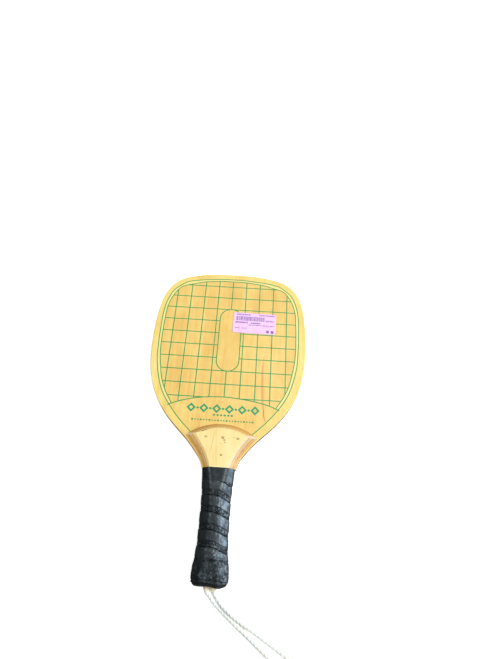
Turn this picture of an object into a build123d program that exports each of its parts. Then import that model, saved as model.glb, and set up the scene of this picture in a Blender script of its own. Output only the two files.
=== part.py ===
"""Wooden pickleball paddle with a wrapped handle and a wrist cord loop.

Frame, in millimetres: the paddle lies flat, face up. X is across the blade, +Y runs
from the butt towards the top of the head, and +Z is the normal of the front face.
The origin is on the back face, at the middle of the blade's widest line, so the
back face is the plane z = 0.
"""

from build123d import *
import os

os.makedirs("parts", exist_ok=True)

overcut = 1.0                # how far a cut runs past the surface it opens

# ------------------------------------------------------------------ blade
face_veneer = 1.0            # thin outer plies
inner_veneer = 1.5           # the plies between them
inner_count = 5
blade_thickness = 2 * face_veneer + inner_count * inner_veneer
mid_z = blade_thickness / 2
edge_ease = 0.8              # rounding of the blade's outer edges
eased_above_y = -160.0       # edges centred above this line are rounded
head_top = 103.8
shoulder_y = -170.0          # the handle is stepped in below this line for the grip
# half outline of the blade, from the top of the head down to the shoulder: x, y
outline = [
    (0.0, head_top), (30.0, 102.8), (54.0, 99.1), (75.0, 91.0), (89.6, 75.4),
    (98.6, 45.0), (101.6, 5.0), (100.5, -30.0), (95.3, -60.0), (87.8, -80.0),
    (75.9, -100.0), (58.6, -120.0), (38.6, -140.0), (26.6, -155.0), (19.8, shoulder_y),
]
head_tangent, shoulder_tangent = (1, 0), (-0.3, -0.95)
ply_names = [
    "rear_face_veneer", "rear_crossband", "rear_inner_veneer", "core_veneer",
    "front_inner_veneer", "front_crossband", "front_face_veneer",
]

# ------------------------------------------------------------------ handle sections
# Each station is an octagon across the handle:
# y, half width, half thickness, half width of the flat face, drop of the bevel

# the handle's wood under the grip, with its corners planed well back
core_stations = [
    (shoulder_y, 16.8, 11.1, 9.5, 5.2), (-186.0, 15.9, 11.1, 6.6, 7.0),
    (-200.0, 15.3, 11.1, 4.9, 8.0), (-245.0, 15.1, 11.1, 4.0, 8.7),
    (-286.0, 15.1, 11.1, 4.0, 8.7),
]
cap_stations = [
    (-257.0, 15.9, 11.9, 4.5, 9.0), (-264.0, 16.5, 12.4, 5.2, 9.0),
    (-272.0, 17.7, 13.2, 7.2, 8.6), (-281.0, 18.5, 13.8, 9.2, 8.0),
    (-292.3, 18.5, 13.8, 9.2, 8.0),
]
grip_stations = [
    (-176.5, 18.2, 12.8, 9.3, 6.2), (-189.0, 17.5, 12.7, 6.9, 7.7),
    (-200.0, 16.9, 12.7, 5.6, 8.6), (-211.0, 16.7, 12.7, 5.1, 9.0),
    (-245.0, 16.8, 12.8, 4.9, 9.2), (-256.0, 17.4, 13.3, 5.4, 9.4),
    (-264.0, 18.1, 13.9, 6.3, 9.4), (-272.0, 19.3, 14.7, 8.4, 9.0),
    (-281.0, 20.0, 15.3, 10.2, 8.4), (-287.0, 20.0, 15.3, 10.2, 8.4),
    (-288.7, 19.3, 14.6, 9.8, 8.1),
]
tape_stations = [(-170.2, 18.6, 13.0, 10.4, 5.6), (-176.5, 18.3, 12.95, 9.4, 6.3)]
core_end_y = core_stations[-1][0]
cap_end_y = cap_stations[-1][0]
wrap_corner_r = 4.0
cap_corner_r = wrap_corner_r - 0.5
cap_round = 4.5              # rounding of the cap's end
cord_hole_r, cord_hole_chamfer = 6.8, 0.8
knot_bore_r, knot_bore_y = 8.5, -262.0

# ------------------------------------------------------------------ cheeks
cheek_thickness = 8.0        # above the blade's face
cheek_top = blade_thickness + cheek_thickness
seat_depth = 0.3             # shallow seat routed into the blade's faces
seat_z = blade_thickness - seat_depth
# outline on the blade's face: peak of the upper arc, then the side as x, y
base_arc_peak = -116.2
base_sides = [(43.2, -131.6), (36.1, -140.0), (27.8, -150.0), (22.1, -160.0),
              (18.3, shoulder_y)]
# the same on the cheek's face
top_arc_peak = -123.7
top_sides = [(30.2, -132.0), (24.8, -139.6), (18.4, -150.0), (13.7, -160.0),
             (10.0, shoulder_y)]
cheek_ridge_round = 0.9      # the ridges between the cheek's face and its bevels
base_glue_z = 12.2           # glue line between the base and the middle ply
face_glue_z = 14.9           # glue line between the middle and the face ply

# ------------------------------------------------------------------ brads and tacks
brad_spots = [(-17.9, -135.0), (2.4, -135.7), (20.4, -135.8), (1.9, -155.9)]
brad_head_r, brad_head_h = 1.15, 0.9
brad_shank_r, brad_length = 0.65, 12.4
brad_sink = 0.3              # depth of the head below the cheek's face
tack_spots = [(-269.0, 17.7), (-279.0, 18.55)]   # y, x the head is sunk from
tack_head_r, tack_head_h, tack_shank_r = 1.7, 0.6, 0.6
tack_sink = 0.75
tack_tip_x = 9.4
tack_bore_x, tack_bore_length = 16.4, 4.0        # head bore, from its floor outwards

# ------------------------------------------------------------------ price label
label_w, label_h, label_t, label_corner_r = 57.6, 31.0, 0.12, 1.5
label_x, label_y, label_turn = 31.9, 26.4, -0.7

# ------------------------------------------------------------------ wrist cord
cord_r = 3.0
cord_end_round = 2.8         # the ends are rounded, so that the segments clear as they turn
leg_half = 3.2               # half the distance between the two legs, side by side
knot_r, knot_top_y, knot_end_y, knot_round = 7.7, -266.0, -284.6, 5.5
leg_start_y = knot_top_y - 9.0    # the legs start inside the knot
leg_bend_y = cap_end_y + 2.2      # and run straight down to here
# point that aims the bent legs at the first pivot, just outside the cap
cord_exit = (0.4, cap_end_y - 1.6, mid_z)
# pivots between the cord's segments, along the middle of the two legs at rest:
# position, gap before (from the last segment), gap after (to the next), half spacing of
# the legs; each leg's end reaches a cord radius into its gap
pivots = [
    ((5.4, -300.4, 3.6), 6.0, 6.0, leg_half),
    ((14.1, -309.6, -2.6), 4.6, 4.6, leg_half),
    ((29.2, -321.4, -8.0), 4.6, 4.6, leg_half),
    ((47.6, -333.3, -8.7), 4.6, 4.6, 3.4),
    ((67.4, -346.5, -9.1), 4.6, 4.6, 4.6),
    ((98.0, -368.0, -9.7), 6.0, 7.5, 7.6),
]
loop_direction = (0.8228, -0.5683, -0.0135)
loop_far = 62.0              # from the last pivot to the middle of the loop's far end
loop_points = [(9.4, 26.0), (11.6, 44.0), (8.3, 57.5)]   # half spacing, distance
up = Vector(0, 0, 1)


# ================================================================== helpers
def export(piece, name):
    """Label a piece and write its file."""
    piece.label = name
    export_step(piece, f"parts/{name}.step")


def octagon_loft(stations, corner_r=None):
    """Loft octagons along the handle, with rounded corners where a radius is given."""
    with BuildPart() as body:
        for y, half_w, half_t, flat, drop in stations:
            with BuildSketch(Plane.XZ.offset(-y)) as section:
                with Locations((0, mid_z)):
                    Polygon((flat, half_t), (-flat, half_t),
                            (-half_w, half_t - drop), (-half_w, drop - half_t),
                            (-flat, -half_t), (flat, -half_t),
                            (half_w, drop - half_t), (half_w, half_t - drop), align=None)
                if corner_r is not None:
                    fillet(section.vertices(), radius=corner_r)
        loft(ruled=True)
    return body.part


def layer_of(solid, low=None, high=None):
    """The part of a solid between two heights; None leaves that side uncut."""
    with BuildPart() as layer:
        add(solid)
        if low is not None:
            split(bisect_by=Plane.XY.offset(low), keep=Keep.TOP)
        if high is not None:
            split(bisect_by=Plane.XY.offset(high), keep=Keep.BOTTOM)
    return layer.part


def mirrored_to_rear(solid):
    """Mirror a solid about the blade's middle plane."""
    with BuildPart() as rear:
        mirror(solid, about=Plane.XY.offset(mid_z))
    return rear.part


def draw_cheek_outline(arc_peak, sides):
    """Draw a cheek's closed outline into the BuildLine block that calls this."""
    tip_x, tip_y = sides[0]
    ThreePointArc((-tip_x, tip_y), (0, arc_peak), sides[0])
    Spline(sides)
    Line(sides[-1], (-sides[-1][0], shoulder_y))
    Spline([(-x, y) for x, y in reversed(sides)])


# ================================================================== blanks
with BuildPart() as blade_blank:
    with BuildSketch():
        with BuildLine():
            blade_side = Spline(outline, tangents=[head_tangent, shoulder_tangent])
            Line(blade_side @ 1, (0, shoulder_y))
            mirror(about=Plane.YZ)
        make_face()
    extrude(amount=blade_thickness)
    rims = (blade_blank.edges().filter_by(GeomType.BSPLINE)
            .filter_by(lambda e: e.center().Y > eased_above_y
                       and e.bounding_box().size.Z < 0.01))
    fillet(rims, radius=edge_ease)

# the handle's wood, shared between the blade (its tongue) and the cheeks
handle_core = octagon_loft(core_stations)
tongue = layer_of(handle_core, low=seat_depth, high=seat_z)
cheek_handle = layer_of(handle_core, low=seat_z)

with BuildPart() as cheek_seat:
    with BuildSketch(Plane.XY) as cheek_base_sketch:
        with BuildLine():
            draw_cheek_outline(base_arc_peak, base_sides)
        make_face()
    extrude(amount=seat_depth)

with BuildPart() as knot_bore:
    with BuildSketch(Plane.XZ.offset(-knot_bore_y)):
        with Locations((0, mid_z)):
            Circle(knot_bore_r)
    extrude(amount=knot_bore_y - core_end_y + overcut)

# ================================================================== brads
brad_top = cheek_top - brad_sink

with BuildPart() as front_brads:
    for x, y in brad_spots:
        with BuildSketch(Plane.XY.offset(brad_top)):
            with Locations((x, y)):
                Circle(brad_head_r)
        extrude(amount=-brad_head_h)
        with BuildSketch(Plane.XY.offset(brad_top - brad_head_h)):
            with Locations((x, y)):
                Circle(brad_shank_r)
        extrude(amount=-(brad_length - brad_head_h))

with BuildPart() as front_brad_holes:
    add(front_brads.part)
    with BuildSketch(Plane.XY.offset(brad_top)):
        with Locations(*brad_spots):
            Circle(brad_head_r)
    extrude(amount=brad_sink + overcut)

rear_brad_holes = mirrored_to_rear(front_brad_holes.part)
rear_brads = mirrored_to_rear(front_brads.part)
export(front_brads.part, "front_cheek_brads")
export(rear_brads, "rear_cheek_brads")

# ================================================================== tacks
with BuildPart() as cap_tacks:
    for hand in (-1, 1):
        for y, outer_x in tack_spots:
            head_x = outer_x - tack_sink
            neck_x = head_x - tack_head_h
            with BuildSketch(Plane(origin=(hand * head_x, y, mid_z), z_dir=(hand, 0, 0))):
                Circle(tack_head_r)
            extrude(amount=-tack_head_h)
            with BuildSketch(Plane(origin=(hand * neck_x, y, mid_z), z_dir=(-hand, 0, 0))):
                Circle(tack_shank_r)
            extrude(amount=neck_x - tack_tip_x)

with BuildPart() as tack_holes:
    add(cap_tacks.part)
    for hand in (-1, 1):
        for y, _ in tack_spots:
            with BuildSketch(Plane(origin=(hand * tack_bore_x, y, mid_z), z_dir=(hand, 0, 0))):
                Circle(tack_head_r)
            extrude(amount=tack_bore_length)

export(cap_tacks.part, "cap_tacks")

# ================================================================== blade plies
with BuildPart() as blade_core:
    add(blade_blank.part)
    with Locations((0, 0, seat_z)):
        add(cheek_seat.part, mode=Mode.SUBTRACT)
    add(cheek_seat.part, mode=Mode.SUBTRACT)
    add(tongue)
    add(knot_bore.part, mode=Mode.SUBTRACT)
    add(front_brad_holes.part, mode=Mode.SUBTRACT)
    add(rear_brad_holes, mode=Mode.SUBTRACT)
    add(tack_holes.part, mode=Mode.SUBTRACT)

# glue lines between the plies; the outermost plies are left uncut on the outside
glue_levels = [face_veneer + i * inner_veneer for i in range(inner_count + 1)]
for ply_name, low, high in zip(ply_names, [None] + glue_levels, glue_levels + [None]):
    export(layer_of(blade_core.part, low, high), ply_name)

# ================================================================== cheek plies
with BuildPart() as cheek_flare:
    for z, arc_peak, sides in (
        (blade_thickness, base_arc_peak, base_sides),
        (cheek_top, top_arc_peak, top_sides),
    ):
        with BuildSketch(Plane.XY.offset(z)):
            with BuildLine():
                draw_cheek_outline(arc_peak, sides)
            make_face()
    loft(ruled=True)
    # every edge of the cheek's face but the one on the shoulder line
    ridges = (cheek_flare.faces().sort_by(Axis.Z)[-1].edges()
              .filter_by(lambda e: e.center().Y > shoulder_y + 1))
    fillet(ridges, cheek_ridge_round)
    with BuildSketch(Plane.XY.offset(seat_z)):
        add(cheek_base_sketch.sketch)
    extrude(amount=seat_depth)

with BuildPart() as front_cheek:
    add(cheek_flare.part)
    add(cheek_handle)
    add(knot_bore.part, mode=Mode.SUBTRACT)
    add(front_brad_holes.part, mode=Mode.SUBTRACT)

for ply_name, low, high in (
    ("base", None, base_glue_z),
    ("middle", base_glue_z, face_glue_z),
    ("face", face_glue_z, None),
):
    front_ply = layer_of(front_cheek.part, low, high)
    export(front_ply, f"front_cheek_{ply_name}")
    export(mirrored_to_rear(front_ply), f"rear_cheek_{ply_name}")

# ================================================================== butt cap
cap_loft = octagon_loft(cap_stations, cap_corner_r)

with BuildPart() as cap_blank:
    add(cap_loft)
    fillet(cap_blank.faces().sort_by(Axis.Y)[0].edges(), radius=cap_round)

with BuildPart() as butt_cap:
    add(cap_blank.part)
    add(handle_core, mode=Mode.SUBTRACT)
    with BuildSketch(Plane.XZ.offset(-core_end_y)):
        with Locations((0, mid_z)):
            Circle(cord_hole_r)
    extrude(amount=core_end_y - cap_end_y + overcut, mode=Mode.SUBTRACT)
    hole_rim = butt_cap.edges().filter_by(GeomType.CIRCLE).sort_by(Axis.Y)[0]
    chamfer(hole_rim, length=cord_hole_chamfer)
    add(tack_holes.part, mode=Mode.SUBTRACT)
export(butt_cap.part, "butt_cap")

# ================================================================== grip wrap and tape
grip_loft = octagon_loft(grip_stations, wrap_corner_r)
tape_loft = octagon_loft(tape_stations, wrap_corner_r)

with BuildPart() as grip_wrap:
    add(grip_loft)
    add(handle_core, mode=Mode.SUBTRACT)
    add(cap_blank.part, mode=Mode.SUBTRACT)
export(grip_wrap.part, "grip_wrap")

with BuildPart() as finishing_tape:
    add(tape_loft)
    add(handle_core, mode=Mode.SUBTRACT)
export(finishing_tape.part, "finishing_tape")

# ================================================================== price label
with BuildPart() as price_label:
    with BuildSketch(Plane.XY.offset(blade_thickness)):
        with Locations(Location((label_x, label_y, 0), (0, 0, label_turn))):
            RectangleRounded(label_w, label_h, label_corner_r)
    extrude(amount=label_t)
export(price_label.part, "price_label")

# ================================================================== wrist cord
with BuildPart() as cord_knot:
    with BuildSketch(Plane.XZ.offset(-knot_top_y)):
        with Locations((0, mid_z)):
            Circle(knot_r)
    extrude(amount=knot_top_y - knot_end_y)
    fillet(cord_knot.edges().filter_by(GeomType.CIRCLE), radius=knot_round)
    first_spot, first_gap, _, _ = pivots[0]
    first_pivot = Vector(*first_spot)
    lead = (first_pivot - Vector(*cord_exit)).normalized()
    stub = first_pivot - lead * (first_gap - cord_r)
    across = up.cross(lead).normalized()
    for hand in (-1, 1):
        # each leg runs straight through the cap's hole, then leans towards the first pivot
        leg_start = Vector(hand * leg_half, leg_start_y, mid_z)
        leg_bend = Vector(hand * leg_half, leg_bend_y, mid_z)
        leg_end = stub + across * (hand * leg_half)
        with BuildLine() as leg_path:
            Line(leg_start, leg_bend)
            Spline(leg_bend, leg_end, tangents=(Vector(0, -1, 0), lead))
        with BuildSketch(Plane(origin=leg_start, z_dir=Vector(0, -1, 0))):
            Circle(cord_r)
        sweep(path=leg_path.wire())
    leg_ends = cord_knot.faces().filter_by(GeomType.PLANE).sort_by(Axis.Y)[0:2]
    fillet(leg_ends.edges(), radius=cord_end_round)
export(cord_knot.part, "cord_knot")


def make_cord_segment(near_pivot, far_pivot):
    """Two straight lengths of cord, side by side, between two pivots."""
    near_spot, _, near_gap, near_half = near_pivot
    far_spot, far_gap, _, far_half = far_pivot
    near, far = Vector(*near_spot), Vector(*far_spot)
    along = (far - near).normalized()
    across = up.cross(along).normalized()
    with BuildPart() as segment:
        for hand in (-1, 1):
            start = near + along * (near_gap - cord_r) + across * (hand * near_half)
            end = far - along * (far_gap - cord_r) + across * (hand * far_half)
            with BuildSketch(Plane(origin=start, z_dir=end - start)):
                Circle(cord_r)
            extrude(amount=(end - start).length)
        fillet(segment.edges().filter_by(GeomType.CIRCLE), radius=cord_end_round)
    return segment.part


for number, (near_pivot, far_pivot) in enumerate(zip(pivots, pivots[1:]), start=1):
    export(make_cord_segment(near_pivot, far_pivot), f"cord_segment_{number}")

with BuildPart() as cord_loop_end:
    last_spot, _, last_gap, last_half = pivots[-1]
    last_pivot = Vector(*last_spot)
    along = Vector(*loop_direction).normalized()
    across = up.cross(along).normalized()
    # one side out to the far end, then back along the other
    stations = [(last_half, last_gap - cord_r)] + loop_points
    out_side = [last_pivot + along * distance + across * half for half, distance in stations]
    back_side = [last_pivot + along * distance - across * half
                 for half, distance in reversed(stations)]
    with BuildLine() as loop_path:
        Spline(out_side + [last_pivot + along * loop_far] + back_side)
    with BuildSketch(Plane(origin=loop_path.line @ 0, z_dir=loop_path.line % 0)):
        Circle(cord_r)
    sweep(path=loop_path.line)
export(cord_loop_end.part, "cord_loop_end")
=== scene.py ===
"""A plywood paddle with a wrapped handle and a wrist cord, lying face up on a pale floor.

The blade is in the XY plane with its printed front face towards +Z. The handle runs towards -Y
and the cord leaves its butt, trailing off towards +X and -Y. Dimensions are in millimetres and
become metres where meshes are made. Only lights, floor and camera are placed in metres.
"""
import math

import bmesh
import bpy
import numpy as np
from mathutils import Matrix, Vector, noise


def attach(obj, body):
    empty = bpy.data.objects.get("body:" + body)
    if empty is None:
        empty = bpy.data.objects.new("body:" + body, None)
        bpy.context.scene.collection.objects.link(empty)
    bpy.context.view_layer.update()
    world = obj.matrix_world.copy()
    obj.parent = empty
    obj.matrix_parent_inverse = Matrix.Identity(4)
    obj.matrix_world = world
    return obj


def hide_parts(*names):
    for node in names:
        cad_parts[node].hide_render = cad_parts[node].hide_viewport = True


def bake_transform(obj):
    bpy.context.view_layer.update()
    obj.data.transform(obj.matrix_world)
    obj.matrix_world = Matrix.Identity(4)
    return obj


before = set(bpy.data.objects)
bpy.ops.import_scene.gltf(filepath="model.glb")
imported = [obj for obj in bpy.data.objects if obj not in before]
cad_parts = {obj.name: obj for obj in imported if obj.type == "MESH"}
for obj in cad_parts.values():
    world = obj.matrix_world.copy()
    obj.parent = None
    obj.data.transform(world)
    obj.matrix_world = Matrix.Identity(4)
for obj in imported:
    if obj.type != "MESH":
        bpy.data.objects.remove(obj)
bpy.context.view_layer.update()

MM = 0.001
FACE = 9.5             # z of the blade's front face
PRINT_SHIFT = 0.6      # the print's centre sits this far towards -X from the blade's centre line
GRID_X = 18.991        # pitch of the printed grid across the blade
GRID_Y = 18.367        # and along it
GRID_TOP = 82.65       # y of the topmost grid line
HANDLE_Z = 4.75        # z of the handle's axis
FLOOR_SLOPE = 0.02733
FLOOR_ZERO_Y = 102.0   # where the sloping floor passes z = 0


def floor_z(y):
    return -(FLOOR_ZERO_Y - y) * FLOOR_SLOPE


# ---------------------------------------------------------------- meshes

def add_mesh(name, vertices, faces, material, body=None, replaces=(), smooth=True,
             recalculate=True):
    mesh = bpy.data.meshes.new(name)
    mesh.from_pydata([tuple(float(c) * MM for c in v) for v in vertices], [],
                     [tuple(int(i) for i in face) for face in faces])
    mesh.validate()
    if recalculate:
        bm = bmesh.new()
        bm.from_mesh(mesh)
        bmesh.ops.recalc_face_normals(bm, faces=bm.faces)
        bm.to_mesh(mesh)
        bm.free()
    mesh.polygons.foreach_set("use_smooth", [smooth] * len(mesh.polygons))
    mesh.update()
    obj = bpy.data.objects.new(name, mesh)
    bpy.context.scene.collection.objects.link(obj)
    mesh.materials.append(material)
    if replaces:
        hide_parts(*replaces)
    if body:
        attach(obj, body)
    return obj


def sharpen(obj, degrees=50):
    """Marks edges above an angle sharp, so that the rest shades smoothly."""
    bm = bmesh.new()
    bm.from_mesh(obj.data)
    limit = math.radians(degrees)
    for edge in bm.edges:
        if len(edge.link_faces) == 2:
            edge.smooth = edge.calc_face_angle(0.0) < limit
    bm.to_mesh(obj.data)
    bm.free()
    obj.data.update()


def strip_faces(base, count, closed=False):
    """Faces of a bar with four vertices at each of its stations, capped unless it is closed."""
    faces = []
    for i in range(count if closed else count - 1):
        here, there = base + 4 * i, base + 4 * ((i + 1) % count)
        for k in range(4):
            k2 = (k + 1) % 4
            faces.append((here + k, there + k, there + k2, here + k2))
    if not closed:
        end = base + 4 * (count - 1)
        faces += [(base, base + 1, base + 2, base + 3), (end + 3, end + 2, end + 1, end)]
    return faces


# ---------------------------------------------------------------- curves

def lengths_along(points):
    return np.concatenate([[0], np.cumsum(np.linalg.norm(np.diff(points, axis=0), axis=1))])


def resample(points, lengths, at):
    return np.stack([np.interp(at, lengths, points[:, k]) for k in range(points.shape[1])], axis=1)


def spline(points, step):
    """Centripetal Catmull-Rom through the points, resampled at about `step` mm."""
    given = np.array(points, float)
    extended = np.vstack([2 * given[0] - given[1], given, 2 * given[-1] - given[-2]])

    def between(start, end, t_start, t_end, t):
        return (t_end - t) / (t_end - t_start) * start + (t - t_start) / (t_end - t_start) * end

    out = []
    for i in range(1, len(extended) - 2):
        p = extended[i - 1:i + 3]
        knots = [0.0]
        for k in range(3):
            knots.append(knots[-1] + max(np.linalg.norm(p[k + 1] - p[k]), 1e-6) ** 0.5)
        count = max(2, int(np.linalg.norm(p[2] - p[1]) / step * 3))
        for t in np.linspace(knots[1], knots[2], count, endpoint=False):
            a = [between(p[k], p[k + 1], knots[k], knots[k + 1], t) for k in range(3)]
            b = [between(a[k], a[k + 1], knots[k], knots[k + 2], t) for k in range(2)]
            out.append(between(b[0], b[1], knots[1], knots[2], t))
    out.append(given[-1])
    out = np.array(out)
    lengths = lengths_along(out)
    count = max(3, int(round(lengths[-1] / step)) + 1)
    return resample(out, lengths, np.linspace(0, lengths[-1], count))


def relax(points, rounds):
    for _ in range(rounds):
        eased = points.copy()
        eased[1:-1] = 0.5 * points[1:-1] + 0.25 * (points[:-2] + points[2:])
        points = eased
    return points


def smoothstep(t):
    t = np.clip(t, 0, 1)
    return t * t * (3 - 2 * t)


def rough_noise(x, y, z, frequency, seed, octaves=3):
    out = np.zeros(len(x))
    amplitude = 1.0
    for _ in range(octaves):
        out += amplitude * np.array([
            noise.noise(Vector((a * frequency + seed, b * frequency - seed,
                                c * frequency + 2 * seed)))
            for a, b, c in zip(x, y, z)])
        frequency *= 2.1
        amplitude *= 0.5
    return out


# ---------------------------------------------------------------- shader building

LIT = 0.73           # gain that makes a fully lit surface show its intended colour


def srgb(red, green, blue, gain=1.0):
    """A linear colour from 0 to 255 sRGB values."""
    out = []
    for c in (red, green, blue):
        c = c / 255.0
        out.append(min(0.98, gain * (c / 12.92 if c <= 0.04045 else ((c + 0.055) / 1.055) ** 2.4)))
    return (*out, 1.0)


def lit(red, green, blue):
    return srgb(red, green, blue, LIT)


class Value:
    """A socket in a node tree. Arithmetic on it adds math nodes."""

    def __init__(self, nodes, socket):
        self.nodes, self.socket = nodes, socket

    def __add__(self, other):
        return self.nodes.math("ADD", self, other)

    def __sub__(self, other):
        return self.nodes.math("SUBTRACT", self, other)

    def __rsub__(self, other):
        return self.nodes.math("SUBTRACT", other, self)

    def __mul__(self, other):
        return self.nodes.math("MULTIPLY", self, other)

    def __truediv__(self, other):
        return self.nodes.math("DIVIDE", self, other)

    def __abs__(self):
        return self.nodes.math("ABSOLUTE", self)

    def max(self, other):
        return self.nodes.math("MAXIMUM", self, other)

    def span(self, low, high, to_low=0.0, to_high=1.0, smooth=True):
        """Maps low..high to to_low..to_high, easing at both ends when smooth."""
        return self.nodes.value("MapRange", {
            "Value": self, "From Min": low, "From Max": high, "To Min": to_low, "To Max": to_high,
        }, interpolation_type="SMOOTHSTEP" if smooth else "LINEAR")


class Nodes:
    """Adds nodes to an emptied node tree."""

    def __init__(self, tree):
        self.tree = tree
        tree.nodes.clear()

    def put(self, socket, value):
        if isinstance(value, Value):
            value = value.socket
        if isinstance(value, bpy.types.NodeSocket):
            self.tree.links.new(value, socket)
        else:
            socket.default_value = value

    def node(self, kind, inputs=None, **settings):
        new = self.tree.nodes.new("ShaderNode" + kind)
        for key, setting in settings.items():
            setattr(new, key, setting)
        for key, value in (inputs or {}).items():
            self.put(new.inputs[key], value)
        return new

    def value(self, kind, inputs=None, output=0, **settings):
        return Value(self, self.node(kind, inputs, **settings).outputs[output])

    def math(self, operation, first, second=None, clamp=False):
        inputs = {0: first} if second is None else {0: first, 1: second}
        return self.value("Math", inputs, operation=operation, use_clamp=clamp)


class Shader(Nodes):
    """A material with a principled surface, and the textures its colour is built from."""

    def __init__(self, name):
        self.material = bpy.data.materials.new(name)
        self.material.use_nodes = True
        super().__init__(self.material.node_tree)
        self.output = self.node("OutputMaterial")
        self.surface = self.node("BsdfPrincipled")
        self.put(self.output.inputs[0], self.surface.outputs[0])
        coordinates = self.node("TexCoord")
        self.uv = coordinates.outputs["UV"]
        # the point on the object in millimetres
        self.mm = self.value("VectorMath", {0: coordinates.outputs["Object"], "Scale": 1000.0},
                             operation="SCALE")

    def xyz(self, vector=None):
        split = self.node("SeparateXYZ", {0: self.mm if vector is None else vector})
        return [Value(self, split.outputs[k]) for k in range(3)]

    def stretch(self, frequency, source, offset):
        """The source point times the frequency, one number or one for each axis, per mm."""
        if np.isscalar(frequency):
            frequency = (frequency,) * 3
        point = self.value("VectorMath", {0: self.mm if source is None else source, 1: frequency},
                           operation="MULTIPLY")
        if any(offset):
            point = self.value("VectorMath", {0: point, 1: offset}, operation="ADD")
        return point

    def noise(self, frequency, detail=3.0, rough=0.55, source=None, offset=(0, 0, 0)):
        return self.value("TexNoise", {"Vector": self.stretch(frequency, source, offset),
                                       "Scale": 1.0, "Detail": detail, "Roughness": rough})

    def voronoi(self, frequency):
        return self.value("TexVoronoi", {"Vector": self.stretch(frequency, None, (0, 0, 0)),
                                         "Scale": 1.0}, output="Distance")

    def attribute(self, name, output="Fac"):
        return self.value("Attribute", output=output, attribute_name=name)

    def ramp(self, factor, stops):
        new = self.node("ValToRGB")
        elements = new.color_ramp.elements
        while len(elements) < len(stops):
            elements.new(0.5)
        for element, (position, colour) in zip(elements, stops):
            element.position = position
            element.color = (colour, colour, colour, 1.0) if np.isscalar(colour) else colour
        self.put(new.inputs[0], factor)
        return Value(self, new.outputs[0])

    def mix(self, factor, base, colour, blend="MIX"):
        return self.value("Mix", {0: factor, 6: base, 7: colour}, output=2,
                          data_type="RGBA", blend_type=blend)

    def normal_z(self):
        normal = self.node("TexCoord").outputs["Normal"]
        return self.value("SeparateXYZ", {0: normal}, output=2)

    def bump(self, height, strength, depth):
        """Bumps the surface by up to `depth` mm."""
        self.finish(Normal=self.value("Bump", {"Strength": strength, "Distance": depth * MM,
                                               "Height": height}))

    def finish(self, **inputs):
        """Sets inputs of the surface, with underscores for the spaces in their names."""
        for key, value in inputs.items():
            self.put(self.surface.inputs[key.replace("_", " ")], value)


def along(y, table):
    """A value read from (y, value) pairs, as a ramp node."""
    y_low, y_high = min(p[0] for p in table), max(p[0] for p in table)
    low, high = min(p[1] for p in table), max(p[1] for p in table)
    stops = sorted(((a - y_low) / (y_high - y_low), (b - low) / (high - low)) for a, b in table)
    ramp = y.nodes.ramp(y.span(y_low, y_high, smooth=False), stops)
    return ramp.span(0.0, 1.0, low, high, smooth=False)


def streak(x, y, path, soft):
    """0 to 1 near a line given as (y, x, half width, strength)."""
    centre, half_width, strength = (along(y, [(p[0], p[k]) for p in path]) for k in (1, 2, 3))
    mask = (abs(x - centre) / half_width).span(1.0, 1.0 - soft) * strength
    low, high = min(p[0] for p in path), max(p[0] for p in path)
    return mask * (y.span(low - 0.5, low + 0.5) * y.span(high + 0.5, high - 0.5))


def spot(x, y, centre_x, centre_y, radius_x, radius_y, soft):
    """1 inside an ellipse, fading to 0 at its edge over the `soft` part of its radius."""
    across = (x - centre_x) / radius_x
    up = (y - centre_y) / radius_y
    distance = x.nodes.math("SQRT", across * across + up * up)
    return distance.span(1.0, 1.0 - soft)


def wood_grain(mat, tones, seed=0.0, contrast=1.0):
    """Long straight fibres with soft clouds, in (dark, middle, light) tones.

    Returns the colour, the fine grain and the fibre value.
    """
    offset = (seed * 3.1, seed * 1.7, seed * 2.3)
    bend = mat.noise((0.02, 0.008, 0.02), detail=1.0, offset=offset)
    x, y, z = mat.xyz()
    bent = mat.value("CombineXYZ", {0: x + bend * 9.0, 1: y, 2: z})
    broad = mat.noise((0.16, 0.006, 0.16), detail=4.0, rough=0.6, source=bent, offset=offset)
    fine = mat.noise((1.15, 0.022, 1.15), detail=5.0, rough=0.62, source=bent, offset=offset)
    fibre = mat.noise((3.6, 0.07, 3.6), detail=3.0, rough=0.6, source=bent, offset=offset)
    cloud = mat.noise((0.045, 0.03, 0.045), detail=3.0, offset=offset)
    # each layer swings either side of zero by its own weight
    total = ((broad - 0.5) * (0.95 * contrast) + (fine - 0.5) * (1.05 * contrast)
             + (fibre - 0.5) * (0.45 * contrast) + (cloud - 0.5) * (0.85 * contrast))
    total = mat.math("ADD", total, 0.5, clamp=True)
    dark, middle, light = (lit(*tone) for tone in tones)
    return mat.ramp(total, [(0.08, dark), (0.5, middle), (0.92, light)]), fine, fibre


def edge_dirt(mat, colour, amount):
    dirt = mat.noise((0.35, 0.35, 0.9), detail=4.0)
    return mat.mix(dirt.span(0.42, 0.68) * amount, colour, lit(92, 56, 30))


# ---------------------------------------------------------------- wood materials

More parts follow.
